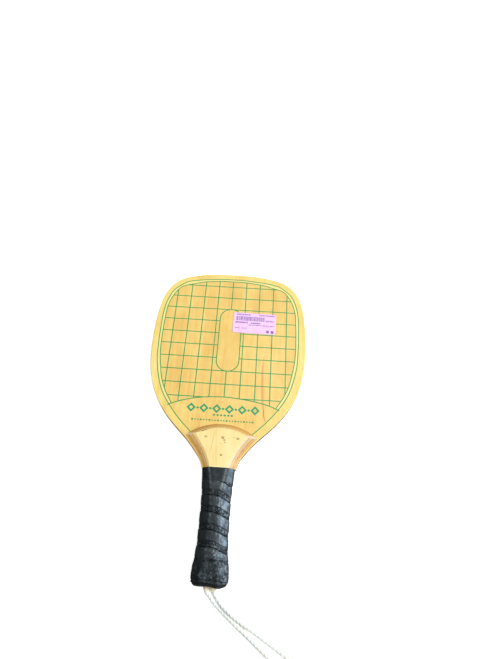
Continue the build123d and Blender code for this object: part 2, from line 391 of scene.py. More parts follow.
def ply_material(name, wall, wall_dark, face=None, seed=0.0, end_grain=False):
    """A ply of the blade: its cut edge shows fibres along it, or end grain pores if asked."""
    mat = Shader(name)
    lines = mat.noise((0.12, 0.12, 9.0), detail=4.0, rough=0.6, offset=(seed, 0, 0))
    colour = mat.mix(lines.span(0.3, 0.7), lit(*wall_dark), lit(*wall))
    if end_grain:
        pores = mat.voronoi((2.6, 2.6, 3.2))
        colour = mat.mix(pores.span(0.32, 0.12) * 0.65, colour, lit(*wall_dark))
    colour = edge_dirt(mat, colour, amount=0.55)
    if face is not None:
        grain, fine, fibre = wood_grain(mat, face, seed)
        colour = mat.mix(abs(mat.normal_z()).span(0.35, 0.75), colour, grain)
        mat.bump(fine * 0.6 + fibre * 0.4, strength=0.35, depth=0.06)
    else:
        mat.bump(lines, strength=0.4, depth=0.1)
    mat.finish(Base_Color=colour, Roughness=lines.span(0.2, 0.8, 0.42, 0.62),
               Coat_Weight=0.15, Coat_Roughness=0.3)
    return mat.material


# (y, half width) of the printed panel, and of the paler band round it
PANEL_HALF = [
    (-126.0, 39.0), (-111.2, 54.0), (-97.5, 65.0), (-95.0, 66.0), (-92.0, 65.4), (-77.0, 74.5),
    (-62.0, 80.7), (-47.0, 84.3), (-32.0, 87.05), (-17.0, 88.55), (13.0, 88.95), (28.0, 88.45),
    (43.0, 87.8), (58.0, 84.2), (73.0, 76.8), (80.0, 70.0), (84.5, 56.0), (88.6, 42.0),
    (90.5, 28.0), (91.8, 14.0), (92.2, 0.0)]
BAND_HALF = [
    (-126.0, 39.0), (-111.2, 54.0), (-92.0, 69.5), (-77.0, 78.7), (-62.0, 84.45), (-47.0, 88.35),
    (-32.0, 91.0), (-17.0, 91.85), (13.0, 92.45), (28.0, 92.3), (43.0, 91.35), (58.0, 88.2),
    (70.0, 83.9), (81.75, 73.0), (88.0, 64.0), (90.0, 56.0), (92.5, 42.0), (93.9, 28.0),
    (95.2, 0.0)]
# streaks in the face: y, x, half width, strength
MINERAL_STREAK = [
    (-113.0, 50.5, 3.0, 0.0), (-98.0, 48.6, 3.2, 0.25), (-82.0, 47.4, 2.6, 0.75),
    (-70.0, 46.9, 2.8, 0.8), (-56.0, 46.3, 2.6, 0.85), (-44.0, 45.9, 2.4, 0.85),
    (-34.0, 46.2, 2.2, 0.6), (-18.0, 46.6, 1.6, 0.0)]
FACE_CRACK = [
    (-110.5, 52.9, 0.45, 0.7), (-107.0, 51.0, 0.6, 1.0), (-103.0, 49.5, 0.75, 1.0),
    (-97.0, 49.4, 0.7, 1.0), (-92.0, 48.9, 0.5, 0.7), (-82.0, 47.9, 0.35, 0.35),
    (-70.0, 47.2, 0.3, 0.2)]
# warm flecks: centre x, centre y, radius x, radius y, strength
FACE_FLECKS = [
    (31.5, 53.7, 9, 13, 0.30), (-31.6, -56.4, 11, 8, 0.22), (48.4, -4.0, 1.2, 2.4, 0.45),
    (-60, 12, 16, 26, 0.14), (12, -62, 12, 9, 0.18), (66, -48, 8, 6, 0.2),
    (-6, 62, 10, 20, 0.14), (74, 32, 5, 22, 0.18), (-40, -78, 14, 5, 0.16)]


def face_material():
    """Varnished pale birch: a lighter margin outside the print, a mineral streak and a crack."""
    mat = Shader("varnished_face_veneer")
    x, y, z = mat.xyz()
    print_x = x + PRINT_SHIFT
    inside, fine, fibre = wood_grain(
        mat, ((226, 172, 86), (243, 205, 113), (251, 222, 138)), contrast=0.85)
    margin, _, _ = wood_grain(
        mat, ((232, 192, 100), (247, 216, 120), (253, 230, 144)), seed=4.0, contrast=0.85)
    outside = (abs(print_x) - along(y, PANEL_HALF)).span(-1.2, 1.2).max(y.span(91.6, 92.6))
    colour = mat.mix(outside, inside, margin)

    # a paler band between the two printed borders
    beyond = (abs(print_x) - along(y, BAND_HALF)).span(-0.6, 0.6).max(y.span(94.6, 95.4))
    band = outside * (1.0 - beyond) * y.span(-93.5, -91.0)
    colour = mat.mix(band * 0.75, colour, lit(252, 234, 146))

    # each square of the printed grid is a touch deeper in its middle
    def from_middle(distance, pitch):
        # adding 20 squares keeps the value positive
        return abs(mat.math("FRACT", distance / pitch + 20.0) - 0.5)

    middle = (from_middle(print_x, GRID_X).span(0.46, 0.22)
              * from_middle(y - GRID_TOP, GRID_Y).span(0.46, 0.22))
    patch = mat.noise(0.055, detail=1.0, offset=(7, 3, 1))
    middle = middle * patch.span(0.35, 0.65, 0.25, 1.0) * (1.0 - outside)
    colour = mat.mix(middle * 0.34, colour, lit(238, 188, 92))

    # short dark pores
    pore = mat.noise((2.4, 0.2, 2.4), detail=2.0, rough=0.5)
    colour = mat.mix(pore.span(0.63, 0.74) * 0.35, colour, lit(196, 140, 70))

    # the mineral streak wavers; the crack follows it
    waver = (mat.noise(0.2, detail=2.0) - 0.5) * 1.6
    mineral = streak(x + waver, y, MINERAL_STREAK, soft=0.9)
    colour = mat.mix(mineral * 0.78, colour, lit(224, 138, 74))
    crack = streak(x, y, FACE_CRACK, soft=0.7)
    colour = mat.mix(crack * 0.90, colour, lit(196, 92, 42))
    for *ellipse, strength in FACE_FLECKS:
        fleck = spot(x, y, *ellipse, soft=0.95)
        colour = mat.mix(fleck * strength, colour, lit(226, 160, 84))

    # cut edge
    lines = mat.noise((0.12, 0.12, 9.0), detail=4.0)
    wall = mat.mix(lines.span(0.3, 0.7), lit(150, 98, 52), lit(204, 150, 88))
    wall = edge_dirt(mat, wall, amount=0.5)
    colour = mat.mix(mat.normal_z().span(0.30, 0.72), wall, colour)

    mat.bump(fine * 0.6 + fibre * 0.4, strength=0.30, depth=0.05)
    gloss = mat.noise((0.05, 0.02, 0.05), detail=4.0)
    mat.finish(Base_Color=colour, Roughness=gloss.span(0.3, 0.7, 0.36, 0.52),
               Coat_Weight=0.30, Coat_Roughness=0.22, Specular_IOR_Level=0.35)
    return mat.material


CHEEK_FLAT = ((236, 200, 120), (249, 224, 150), (254, 236, 172))
CHEEK_GLUE_Z = (12.2, 14.9, -2.7, -5.4)
# marks on the front cheek: centre x, centre y, radius x, radius y, strength, colour
CHEEK_MARKS = [
    (4.5, -138.0, 2.6, 1.1, 0.85, (116, 84, 40)), (5.1, -140.7, 1.9, 1.0, 0.75, (126, 92, 46)),
    (0.7, -142.6, 1.8, 1.0, 0.45, (164, 124, 68)), (10.0, -135.9, 2.6, 0.5, 0.40, (168, 130, 76)),
    (15.6, -134.2, 2.2, 0.6, 0.45, (150, 112, 64)),
    (-22.4, -128.0, 3.2, 1.25, 0.95, (92, 58, 26)),
    (-18.6, -126.9, 2.8, 1.0, 0.85, (104, 68, 32)), (2.2, -134.9, 3.2, 2.4, 0.65, (150, 108, 52)),
    (20.0, -135.4, 3.0, 2.2, 0.55, (160, 118, 60)),
    (-17.9, -134.9, 3.0, 1.7, 0.45, (168, 130, 74)),
    (1.6, -155.6, 3.0, 2.2, 0.45, (176, 138, 78))]
# y, x, half width, strength
CHEEK_CRACK = [
    (-158.0, -12.8, 0.34, 0.0), (-154.0, -11.7, 0.40, 0.55), (-150.5, -10.6, 0.44, 0.6),
    (-139.8, -9.3, 0.50, 0.75), (-126.6, -7.5, 0.46, 0.6)]


def cheek_material(name, bevel, bevel_dark, seed, marks):
    """A ply of a handle cheek: pale on its flat face, browner where the bevel cuts through it."""
    mat = Shader(name)
    x, y, z = mat.xyz()
    grain, fine, _ = wood_grain(mat, CHEEK_FLAT, seed, contrast=0.8)
    # bevel: fibres run along the handle, so the slope shows long bands of early and late wood
    bands = mat.noise((0.5, 0.03, 2.4), detail=4.0, rough=0.6, offset=(seed, 0, 0))
    slope = mat.mix(bands.span(0.32, 0.68), lit(*bevel_dark), lit(*bevel))
    for level in CHEEK_GLUE_Z:
        slope = mat.mix(abs(z - level).span(0.30, 0.08) * 0.7, slope, lit(150, 92, 44))
    # each slope gets its own tone: the slope towards the blade a yellower one, the slope at -X
    # painted light and the slope at +X a painted cool tint
    blade_end = y.span(-132.0, -129.0)
    left = x.span(2.0, -2.0) * (1.0 - blade_end)
    right = x.span(-2.0, 2.0) * (1.0 - blade_end)
    slope = mat.mix(blade_end, slope, (0.97, 0.98, 0.72, 1.0), "MULTIPLY")
    # painted light: the -X slope, which the lamps leave in shade, is brightened; then all slopes are
    # capped
    slope = mat.mix(left, slope, (1.55, 1.68, 1.42, 1.0), "MULTIPLY")
    slope = mat.mix(1.0, slope, (0.95, 0.90, 0.85, 1.0), "DARKEN")
    # painted light: the +X slope is tinted cool, as if lit by the bluish side window
    slope = mat.mix(right, slope, (0.95, 1.06, 1.10, 1.0), "MULTIPLY")
    flat = abs(mat.normal_z()).span(0.90, 0.97)
    colour = mat.mix(flat, slope, grain)
    # paler, pinkish-white patches at the tips of the flare
    tips = spot(x, y, -38.5, -131.0, 8.5, 2.4, soft=0.9).max(
        spot(x, y, 38.0, -131.2, 9.0, 2.6, soft=0.9))
    colour = mat.mix(tips * 0.75, colour, lit(250, 226, 202))
    if marks:
        front = mat.normal_z().span(0.70, 0.85)
        for *ellipse, strength, tone in CHEEK_MARKS:
            mark = spot(x, y, *ellipse, soft=0.8) * strength * front
            colour = mat.mix(mark, colour, lit(*tone))
        crack = streak(x, y, CHEEK_CRACK, soft=0.8)
        colour = mat.mix(crack * front, colour, lit(200, 150, 74))
        # painted highlight: a pale stripe across the flat face just above the tape's top edge
        rim = y.span(-168.2, -169.2) * 0.55 * flat
        colour = mat.mix(rim, colour, lit(255, 248, 186))
    mat.bump(fine * 0.6 + bands * 0.6, strength=0.35, depth=0.06)
    mat.finish(Base_Color=colour, Roughness=fine.span(0.25, 0.75, 0.38, 0.55),
               Coat_Weight=0.25, Coat_Roughness=0.25, Specular_IOR_Level=0.35)
    return mat.material


# ---------------------------------------------------------------- ink and label materials

def ink_material(name, fresh, worn):
    mat = Shader(name)
    mottle = mat.noise(0.9, detail=4.0, rough=0.7)
    fibre = mat.noise((2.2, 0.1, 2.2), detail=3.0)
    wear = mottle.span(0.45, 0.75) * 0.5 + fibre.span(0.5, 0.75) * 0.3
    mat.bump(fibre, strength=0.2, depth=0.03)
    mat.finish(Base_Color=mat.mix(wear, lit(*fresh), lit(*worn)),
               Roughness=mottle.span(0.3, 0.7, 0.32, 0.46), Coat_Weight=0.2, Coat_Roughness=0.2)
    return mat.material


def label_material():
    mat = Shader("price_label_paper")
    fibre = mat.noise(1.8, detail=5.0, rough=0.7)
    cloud = mat.noise(0.12, detail=2.0)
    colour = mat.mix(cloud.span(0.35, 0.65), srgb(246, 198, 247, 0.72), srgb(251, 210, 252, 0.74))
    colour = mat.mix(fibre.span(0.58, 0.8) * 0.3, colour, srgb(236, 184, 238, 0.70))
    mat.bump(fibre, strength=0.25, depth=0.04)
    mat.finish(Base_Color=colour, Roughness=fibre.span(0.3, 0.7, 0.42, 0.58))
    return mat.material


def label_ink(name, tone, other_tone):
    mat = Shader(name)
    mottle = mat.noise(1.6, detail=3.0)
    mat.bump(mottle, strength=0.1, depth=0.02)
    mat.finish(Base_Color=mat.mix(mottle.span(0.35, 0.65), lit(*tone), lit(*other_tone)),
               Roughness=mottle.span(0.3, 0.7, 0.45, 0.6))
    return mat.material


# ---------------------------------------------------------------- handle materials

COOL_SHEEN = (0.80, 0.95, 1.0, 1.0)
PERFORATION_PITCH = 2.3


def grip_material():
    """Synthetic leather: fine pebble on the raised bands, holes and scuffs in the sunken ones."""
    mat = Shader("wrapped_grip_leather")
    band = mat.attribute("band")               # 1 on the smooth raised band, 0 in the sunken one
    seam_shade = mat.attribute("seam_shade")
    wrap = mat.attribute("wrap", "Vector")     # distance round and along the wrap, mm
    pebble = mat.voronoi(1.9)
    fine = mat.noise(1.4, detail=5.0, rough=0.65)
    cloud = mat.noise(0.16, detail=3.0, rough=0.6)
    colour = mat.mix(cloud.span(0.3, 0.7), srgb(4, 6, 9), srgb(11, 16, 20))
    scuff = fine.span(0.52, 0.72) * (1.0 - band * 0.75)
    colour = mat.mix(scuff * 0.30, colour, srgb(52, 57, 62))

    # regular perforations in the sunken band
    around, lengthwise, _ = mat.xyz(wrap)
    across = mat.math("FRACT", around / PERFORATION_PITCH) - 0.5
    up = mat.math("FRACT", lengthwise / PERFORATION_PITCH) - 0.5
    hole = mat.math("SQRT", across * across + up * up).span(0.24, 0.16) * (1.0 - band)
    colour = mat.mix(hole * 0.8, colour, srgb(6, 6, 8))
    # painted shade: the wrap's grooves, the edges of the raised bands, and the lip and fold at the
    # butt are darkened as the shade in these creases
    colour = mat.mix(seam_shade, colour, srgb(4, 4, 6))
    mat.bump(pebble * 0.35 + fine * 0.5 - hole * 1.0, strength=0.55, depth=0.10)

    # the sunken band shines in blotches, and the whole grip in broad patches
    blotch = mat.noise(0.42, detail=3.0, rough=0.6)
    shine = mat.noise((0.19, 0.11, 0.19), detail=3.0, rough=0.6, offset=(5, 2, 9))
    roughness = (fine.span(0.3, 0.7, 0.26, 0.40)
                 + (1.0 - band) * blotch.span(0.40, 0.62, 0.24, 0.04)
                 + shine.span(0.36, 0.64, -0.03, 0.13))
    specular = (band.span(0.1, 0.9, 0.22, 0.56)
                + (1.0 - band) * blotch.span(0.46, 0.64, 0.0, 0.42))
    specular = mat.math("MULTIPLY", specular, shine.span(0.36, 0.64, 1.50, 0.72), clamp=True)
    mat.finish(Base_Color=colour, Roughness=roughness, Specular_IOR_Level=specular,
               Specular_Tint=COOL_SHEEN)
    return mat.material


def tape_material():
    mat = Shader("finishing_tape_vinyl")
    fine = mat.noise((0.9, 2.4, 0.9), detail=4.0)
    cloud = mat.noise((0.12, 0.2, 0.12), detail=3.0)
    colour = mat.mix(cloud.span(0.3, 0.7), srgb(4, 6, 9), srgb(9, 13, 17))
    colour = mat.mix(fine.span(0.6, 0.8) * 0.25, colour, srgb(52, 55, 62))
    mat.bump(fine + cloud * 2.0, strength=0.25, depth=0.15)
    roughness = fine.span(0.3, 0.7, 0.22, 0.34) + cloud.span(0.35, 0.65, 0.0, 0.12)
    mat.finish(Base_Color=colour, Roughness=roughness, Specular_Tint=COOL_SHEEN,
               Specular_IOR_Level=0.5)
    return mat.material


def cap_material():
    mat = Shader("butt_cap_plastic")
    fine = mat.noise(2.2, detail=5.0, rough=0.7)
    cloud = mat.noise(0.25, detail=3.0)
    colour = mat.mix(cloud.span(0.3, 0.7), srgb(7, 8, 9), srgb(15, 16, 18))
    colour = mat.mix(fine.span(0.6, 0.78) * 0.3, colour, srgb(44, 46, 50))
    mat.bump(fine, strength=0.5, depth=0.08)
    mat.finish(Base_Color=colour, Roughness=fine.span(0.3, 0.7, 0.42, 0.62),
               Specular_IOR_Level=cloud.span(0.3, 0.7, 0.16, 0.26))
    return mat.material


def steel_material():
    mat = Shader("brad_steel")
    fine = mat.noise(6, detail=4.0)
    mat.bump(fine, strength=0.5, depth=0.05)
    mat.finish(Base_Color=mat.mix(fine.span(0.35, 0.65), srgb(132, 98, 52), srgb(178, 138, 84)),
               Roughness=fine.span(0.3, 0.7, 0.45, 0.7), Metallic=0.25)
    return mat.material


def cord_material(name, stained):
    """Soft cotton cord of fine yarns, stained over its first length if asked."""
    mat = Shader(name)
    around, lengthwise, _ = mat.xyz(mat.uv)
    yarn = mat.math("SINE", (around * 18.0 + lengthwise * 15.0) * (2 * math.pi))
    fuzz = mat.noise(3.2, detail=5.0, rough=0.7)
    cloud = mat.noise(0.09, detail=3.0)
    colour = mat.mix(cloud.span(0.35, 0.65), srgb(241, 246, 244, 0.87), srgb(248, 248, 237, 0.87))
    colour = mat.mix(fuzz.span(0.55, 0.8) * 0.25, colour, srgb(222, 220, 206, 0.74))
    # painted shade: the grooves between the strands are darkened
    colour = mat.mix(mat.attribute("groove_and_shade") * 0.35, colour, srgb(186, 188, 176, 0.74))
    if stained:
        _, y, _ = mat.xyz()
        stain = y.span(-298.5, -293.0) * fuzz.span(0.3, 0.6, 0.5, 1.0)
        colour = mat.mix(stain * 0.70, colour, srgb(255, 228, 168, 0.95))
        dirt = y.span(-295.5, -292.0) * fuzz.span(0.5, 0.62)
        colour = mat.mix(dirt * 0.45, colour, srgb(206, 158, 84))
    mat.bump(yarn * 0.30 + fuzz, strength=0.5, depth=0.22)
    mat.finish(Base_Color=colour, Roughness=fuzz.span(0.3, 0.7, 0.8, 0.95), Sheen_Weight=0.45,
               Sheen_Roughness=0.5, Specular_IOR_Level=0.2)
    return mat.material


# ---------------------------------------------------------------- pieces kept from the CAD

def give(piece, material):
    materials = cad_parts[piece].data.materials
    materials.clear()
    materials.append(material)


give("front_face_veneer", face_material())
give("rear_face_veneer", ply_material(
    "rear_veneer", (204, 150, 88), (150, 98, 52), seed=9.0,
    face=((222, 172, 92), (242, 205, 124), (250, 221, 146))))
for seed, side in enumerate(("front", "rear"), 1):
    give(f"{side}_crossband", ply_material(
        f"{side}_crossband", (150, 96, 52), (108, 66, 34), seed=float(seed), end_grain=True))
for seed, side in enumerate(("front", "rear"), 3):
    give(f"{side}_inner_veneer", ply_material(
        f"{side}_inner_veneer", (196, 142, 82), (150, 98, 54), seed=float(seed)))
give("core_veneer", ply_material(
    "core_veneer", (156, 102, 56), (112, 68, 36), seed=5.0, end_grain=True))

# cheek plies outwards from the blade: name, bevel tone, darker bevel tone
CHEEK_PLIES = [("base", (226, 172, 100), (190, 128, 66)),
               ("middle", (228, 184, 128), (206, 152, 92)),
               ("face", (240, 206, 160), (226, 180, 124))]
for side, side_seed in (("front", 20.0), ("rear", 30.0)):
    for k, (ply, bevel, bevel_dark) in enumerate(CHEEK_PLIES):
        give(f"{side}_cheek_{ply}", cheek_material(
            f"{side}_cheek_{ply}_ply", bevel, bevel_dark, seed=side_seed + k,
            marks=(side == "front" and ply == "face")))

steel = steel_material()
for piece in ("front_cheek_brads", "rear_cheek_brads", "cap_tacks"):
    give(piece, steel)
cap_plastic = cap_material()
stained_cord = cord_material("twisted_cotton_cord_at_butt", stained=True)
clean_cord = cord_material("twisted_cotton_cord", stained=False)
give("cord_knot", stained_cord)


# ---------------------------------------------------------------- print on the front face

# (x, y) down the +X half of the outer and inner borders, then along the arc that closes the grid
OUTER = [
    (0, 95.2), (14, 95.1), (28, 93.9), (42, 92.5), (56, 90), (64, 88), (70, 83.9), (81.75, 73),
    (88.2, 58), (91.35, 43), (92.3, 28), (92.45, 13), (92.4, -2), (91.85, -17), (91, -32),
    (88.35, -47), (84.45, -62), (78.7, -77), (69.5, -92), (54, -111.2), (39, -126),
    (37.6, -127.35)]
INNER = [
    (0, 91.7), (14, 91.8), (28, 90.5), (42, 88.6), (56, 84.5), (70, 80), (76.8, 73), (84.2, 58),
    (87.8, 43), (88.45, 28), (88.95, 13), (88.9, -2), (88.55, -17), (87.05, -32), (84.3, -47),
    (80.7, -62), (74.5, -77), (65.4, -92)]
ARC = [
    (-69.5, -95.6), (-55.6, -89.8), (-36.3, -84.6), (-18.1, -82.1), (1.1, -81.4), (20.4, -82.8),
    (38.2, -85.3), (56.8, -89.8), (69.6, -94.9)]

BORDER_WIDTH = 1.2
ARC_WIDTH = 1.3
LINE_WIDTH = 1.25     # the grid and the rounded panel
INK_SINK = 0.01       # how far printed slabs reach into the face
# Crossing lines stand at slightly different heights, so that their tops never coincide.
RISE_BORDER, RISE_ARC, RISE_UPRIGHT, RISE_ROW, RISE_ORNAMENT = 0.036, 0.038, 0.030, 0.033, 0.034


class Print:
    """Gathers thin closed slabs of ink into one mesh. Points are measured from the print's centre."""

    def __init__(self):
        self.vertices, self.faces = [], []

    def line(self, points, width, rise, closed=False):
        p = np.array(points, float)
        p[:, 0] -= PRINT_SHIFT
        if closed:
            ahead, behind = np.roll(p, -1, 0) - p, p - np.roll(p, 1, 0)
        else:
            ahead = np.vstack([p[1:] - p[:-1], p[-1:] - p[-2:-1]])
            behind = np.vstack([p[1:2] - p[0:1], p[1:] - p[:-1]])
        ahead = ahead / np.linalg.norm(ahead, axis=1)[:, None]
        behind = behind / np.linalg.norm(behind, axis=1)[:, None]
        normal = np.stack([-ahead[:, 1], ahead[:, 0]], 1)
        mitre = normal + np.stack([-behind[:, 1], behind[:, 0]], 1)
        mitre = mitre / np.linalg.norm(mitre, axis=1)[:, None]
        stretch = 1.0 / np.maximum(0.35, (mitre * normal).sum(1))
        offset = mitre * (stretch * width / 2)[:, None]
        low, high = FACE - INK_SINK, FACE + rise
        base = len(self.vertices)
        for left, right in zip(p + offset, p - offset):
            self.vertices += [(*left, low), (*left, high), (*right, high), (*right, low)]
        self.faces += strip_faces(base, len(p), closed)

    def shape(self, points, rise):
        """A filled outline, star-shaped about its middle."""
        p = np.array(points, float)
        p[:, 0] -= PRINT_SHIFT
        count, base = len(p), len(self.vertices)
        for x, y in [*p, p.mean(0)]:
            self.vertices += [(x, y, FACE - INK_SINK), (x, y, FACE + rise)]
        centre_low, centre_high = base + 2 * count, base + 2 * count + 1
        for i in range(count):
            a, b = base + 2 * i, base + 2 * ((i + 1) % count)
            self.faces += [(a, b, b + 1, a + 1), (a + 1, b + 1, centre_high), (b, a, centre_low)]

    def make(self, name, material):
        add_mesh(name, self.vertices, self.faces, material, body="paddle",
                 smooth=False)


def mirrored(half):
    return [(-x, y) for x, y in half[::-1]][:-1] + half


outer = relax(spline(mirrored(OUTER), 1.5), 6)
inner = relax(spline(mirrored(INNER), 1.5), 6)
arc = relax(spline(ARC, 1.5), 4)


def arc_y(x):
    return float(np.interp(x, arc[:, 0], arc[:, 1]))


def carried_to_arc(before, end):
    """Where the line from `before` through `end` meets the arc."""
    direction = (end - before) / np.linalg.norm(end - before)
    out = end.copy()
    for _ in range(200):
        if out[1] <= arc_y(out[0]):
            break
        out = out + direction * 0.2
    return out


inner = np.vstack([carried_to_arc(inner[3], inner[0]), inner,
                   carried_to_arc(inner[-4], inner[-1])])

# tall rounded panel in the middle of the grid
PANEL_LEFT, PANEL_RIGHT, PANEL_BOTTOM, PANEL_TOP = -14.05, 15.2, -46.0, 46.1
PANEL_RADIUS = (PANEL_RIGHT - PANEL_LEFT) / 2
PANEL_X = (PANEL_LEFT + PANEL_RIGHT) / 2
PANEL_ARC_TOP = PANEL_TOP - PANEL_RADIUS        # centres of the round ends
PANEL_ARC_BOTTOM = PANEL_BOTTOM + PANEL_RADIUS


def panel_outline():
    def round_end(centre_y, start):
        return [(PANEL_X + PANEL_RADIUS * math.cos(a), centre_y + PANEL_RADIUS * math.sin(a))
                for a in np.linspace(start, start + math.pi, 40)]

    def side(x, start, end):
        return [(x, y) for y in np.linspace(start, end, 30)[1:-1]]

    return (round_end(PANEL_ARC_TOP, 0) + side(PANEL_LEFT, PANEL_ARC_TOP, PANEL_ARC_BOTTOM)
            + round_end(PANEL_ARC_BOTTOM, math.pi)
            + side(PANEL_RIGHT, PANEL_ARC_BOTTOM, PANEL_ARC_TOP))


green = ink_material("green_screen_print", (14, 152, 76), (88, 170, 78))
border = Print()
border.line(outer, BORDER_WIDTH, RISE_BORDER)
border.line(inner, BORDER_WIDTH, RISE_BORDER)
border.line(arc, ARC_WIDTH, RISE_ARC)
border.line(panel_outline(), LINE_WIDTH, RISE_BORDER, closed=True)
border.make("print_border_lines", green)

# the inner border's +X half, as a whole, above the blade's middle and (upwards) below it
inner_right = inner[len(inner) // 2:]
inner_above = inner_right[inner_right[:, 1] > 0]
inner_below = inner_right[inner_right[:, 1] < -40][::-1]
ARC_REACH = 66      # uprights further out than this end on the inner border, not on the arc


def upright_spans(x):
    """Start and end y of the printed pieces of the upright grid line at x."""
    top = float(np.interp(abs(x), inner_above[:, 0], inner_above[:, 1]))
    if abs(x) < ARC_REACH:
        low = arc_y(x)
    else:
        low = float(np.interp(abs(x), inner_below[:, 0], inner_below[:, 1]))
    if PANEL_LEFT < x < PANEL_RIGHT:
        return [(low, PANEL_BOTTOM), (PANEL_TOP, top)]
    return [(low, top)]


def row_spans(y, under_arc):
    """Start and end x of the printed pieces of the grid row at y."""
    half = float(np.interp(-y, -inner_right[:, 1], inner_right[:, 0]))
    if under_arc:      # this row is hidden where the arc dips below it
        clear = [x for x in np.linspace(-half, half, 400) if arc_y(x) < y - 0.3]
        return [(-half, max(x for x in clear if x < 0)), (min(x for x in clear if x > 0), half)]
    if PANEL_BOTTOM <= y <= PANEL_TOP:
        past = max(0.0, y - PANEL_ARC_TOP, PANEL_ARC_BOTTOM - y)
        panel_half = math.sqrt(PANEL_RADIUS ** 2 - past ** 2)
        return [(-half, PANEL_X - panel_half), (PANEL_X + panel_half, half)]
    return [(-half, half)]


def stations(start, end):
    return np.linspace(start, end, max(3, int(abs(end - start) / 6)))


grid = Print()
for i in range(-4, 5):
    x = i * GRID_X
    for start, end in upright_spans(x):
        grid.line([(x, y) for y in stations(start, end)], LINE_WIDTH, RISE_UPRIGHT)
for j in range(10):
    y = GRID_TOP - j * GRID_Y
    for start, end in row_spans(y, under_arc=(j == 9)):
        if end - start > 1:
            grid.line([(x, y) for x in stations(start, end)], LINE_WIDTH, RISE_ROW)
grid.make("print_grid_lines", green)


def diamond(x, y, half_width, up, down):
    return [(x + half_width, y), (x, y + up), (x - half_width, y), (x, y - down)]


def disc(x, y, radius, count):
    return [(x + radius * math.cos(t), y + radius * math.sin(t))
            for t in np.linspace(0, 2 * math.pi, count, endpoint=False)]


# ornament: a chain of open diamonds and dots, a row of lozenges, a row of dots
CHAIN_COUNT, CHAIN_START, CHAIN_PITCH, CHAIN_Y = 6, -39.5, 15.8, -97
bold_green = ink_material("green_ornament_print", (4, 156, 92), (20, 166, 100))
ornament = Print()
for k in range(CHAIN_COUNT):
    x = CHAIN_START + k * CHAIN_PITCH
    ornament.line(diamond(x, CHAIN_Y, half_width=4.2, up=4.3, down=4.3), 2.3, RISE_ORNAMENT,
                  closed=True)
    if k < CHAIN_COUNT - 1:
        ornament.shape(disc(x + CHAIN_PITCH / 2, CHAIN_Y, radius=1.5, count=24), RISE_ORNAMENT)
for k in range(6):
    ornament.shape(diamond(-10.4 + k * 4.35, -105.2, half_width=1.75, up=1.6, down=1.7),
                   RISE_ORNAMENT)
ornament.make("print_ornament_bold", bold_green)
dots = Print()
for k in range(22):      # every third dot is larger
    dots.shape(disc(-36.6 + k * 3.52, -112.0, radius=0.95 if k % 3 else 1.25, count=16),
               RISE_ORNAMENT)
dots.make("print_ornament_dots", ink_material("green_fine_print", (60, 146, 78), (112, 166, 84)))


# ---------------------------------------------------------------- price label

# On the label, u runs from its left edge and v down from its top edge.
LABEL_WIDTH, LABEL_HEIGHT, LABEL_CORNER = 57.6, 31.0, 2.6
LABEL_THICKNESS = 0.14
LABEL_CENTRE = (31.9, 26.4)
LABEL_TURN = math.radians(-0.7)
LABEL_GAP = 0.05      # between the face and the label's underside


def label_lift(u, v):
    """How far the label stands off: its lower left and upper right corners have lifted."""
    lower_left = (max(0.0, (0.16 - u / LABEL_WIDTH) / 0.16)
                  * max(0.0, (v / LABEL_HEIGHT - 0.72) / 0.28))
    upper_right = (max(0.0, (u / LABEL_WIDTH - 0.93) / 0.07)
                   * max(0.0, (0.30 - v / LABEL_HEIGHT) / 0.30))
    ripple = 0.03 * math.sin(u * 0.55 + v * 0.3) * math.sin(v * 0.42)
    return 0.55 * lower_left ** 1.5 + 0.35 * upper_right ** 1.5 + abs(ripple)


def label_point(u, v, up):
    x, y = u - LABEL_WIDTH / 2, LABEL_HEIGHT / 2 - v
    cosine, sine = math.cos(LABEL_TURN), math.sin(LABEL_TURN)
    return (LABEL_CENTRE[0] + x * cosine - y * sine, LABEL_CENTRE[1] + x * sine + y * cosine,
            FACE + LABEL_GAP + label_lift(u, v) + up)


def rounded(u, v):
    """Pulls a grid point onto the rounded corner."""
    near_u = min(max(u, LABEL_CORNER), LABEL_WIDTH - LABEL_CORNER)
    near_v = min(max(v, LABEL_CORNER), LABEL_HEIGHT - LABEL_CORNER)
    du, dv = u - near_u, v - near_v
    if du == 0 or dv == 0:
        return u, v
    reach = max(abs(du), abs(dv))
    distance = math.hypot(du, dv)
    return near_u + du * reach / distance, near_v + dv * reach / distance


def label_stations(length, count):
    """Positions along a side: five steps in each corner, `count` positions between them."""
    return np.concatenate([np.linspace(0, LABEL_CORNER, 6)[:-1],
                           np.linspace(LABEL_CORNER, length - LABEL_CORNER, count),
                           np.linspace(length - LABEL_CORNER, length, 6)[1:]])


def make_label():
    columns = label_stations(LABEL_WIDTH, 62)
    rows = label_stations(LABEL_HEIGHT, 30)
    nu, nv = len(columns), len(rows)
    vertices = [label_point(*rounded(u, v), up)
                for up in (LABEL_THICKNESS, 0.0) for v in rows for u in columns]

    def top(j, i):
        return j * nu + i

    def under(j, i):
        return nu * nv + j * nu + i

    faces = []
    for j in range(nv - 1):
        for i in range(nu - 1):
            faces.append((top(j, i), top(j + 1, i), top(j + 1, i + 1), top(j, i + 1)))
            faces.append((under(j, i), under(j, i + 1), under(j + 1, i + 1), under(j + 1, i)))
    for i in range(nu - 1):
        faces.append((top(0, i), top(0, i + 1), under(0, i + 1), under(0, i)))
        faces.append((top(nv - 1, i + 1), top(nv - 1, i), under(nv - 1, i), under(nv - 1, i + 1)))
    for j in range(nv - 1):
        faces.append((top(j + 1, 0), top(j, 0), under(j, 0), under(j + 1, 0)))
        faces.append((top(j, nu - 1), top(j + 1, nu - 1), under(j + 1, nu - 1), under(j, nu - 1)))
    add_mesh("price_sticker", vertices, faces, label_material(), body="paddle",
             replaces=("price_label",))


